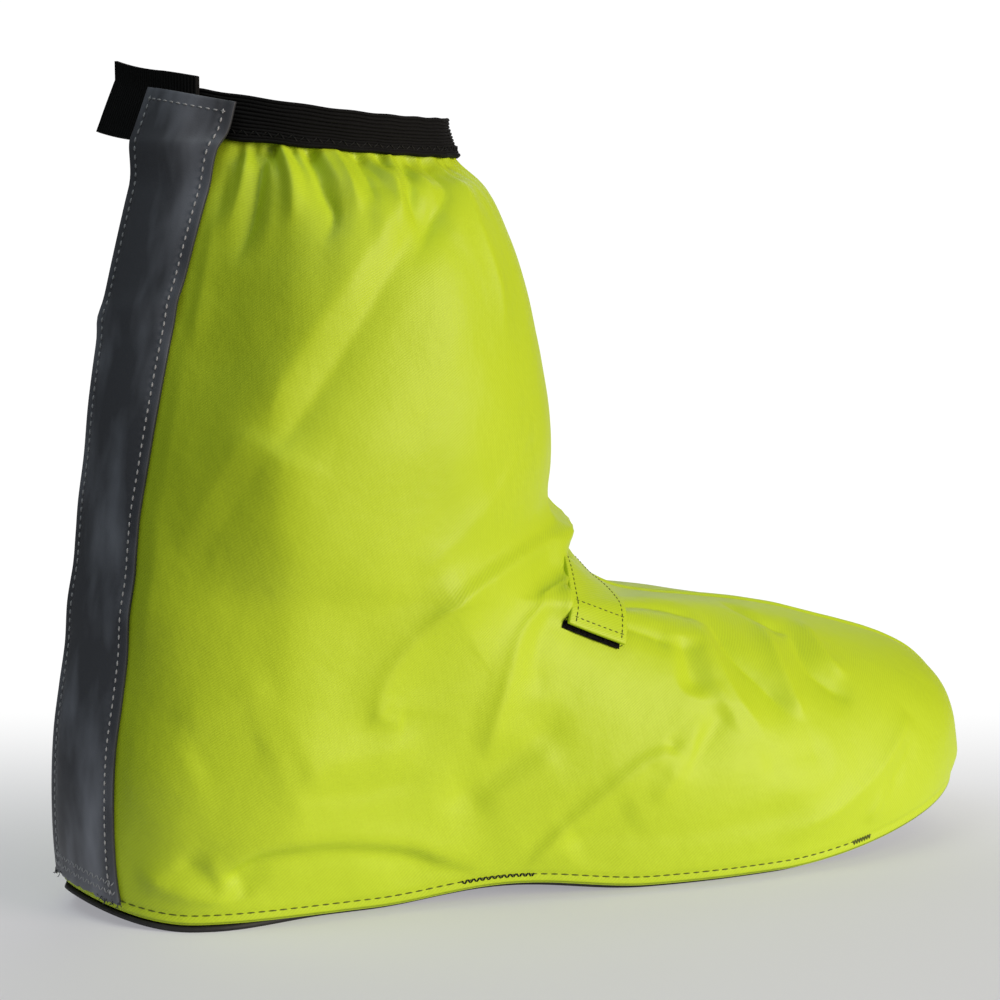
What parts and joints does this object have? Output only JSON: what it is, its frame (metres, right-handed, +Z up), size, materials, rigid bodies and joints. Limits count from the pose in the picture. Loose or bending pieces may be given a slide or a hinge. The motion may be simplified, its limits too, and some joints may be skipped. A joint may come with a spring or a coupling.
{
  "type": "cycling overshoe",
  "caption": "Ankle-high rain overshoe for cycling: coated fabric shell with elastic collar, reflective rear closure strip, instep strap and thin sole with a cleat window.",
  "frame": {"origin": "on the floor under the middle of the heel's flat spot", "axes": "+X from heel to toe, +Z up, -Y towards the outer side of the foot"},
  "size_m": [0.3059, 0.114, 0.2474],
  "materials": {
    "coated_fabric": "satin coated twill",
    "rubberised_sheet": "matt grained sheet",
    "ribbed_elastic": "matt ribbed knit",
    "fastener_webbing": "matt ribbed webbing",
    "reflective_tape": "satin retroreflective tape",
    "strap_fabric": "satin coated twill",
    "hook_tape": "matt hooks"
  },
  "bodies": {
    "root": {"upper": "coated_fabric", "sole": "rubberised_sheet", "collar_elastic": "ribbed_elastic", "collar_tab": "fastener_webbing", "reflective_strip": "reflective_tape", "instep_strap": "strap_fabric", "instep_hook_tape": "hook_tape"}
  },
  "joints": []
}
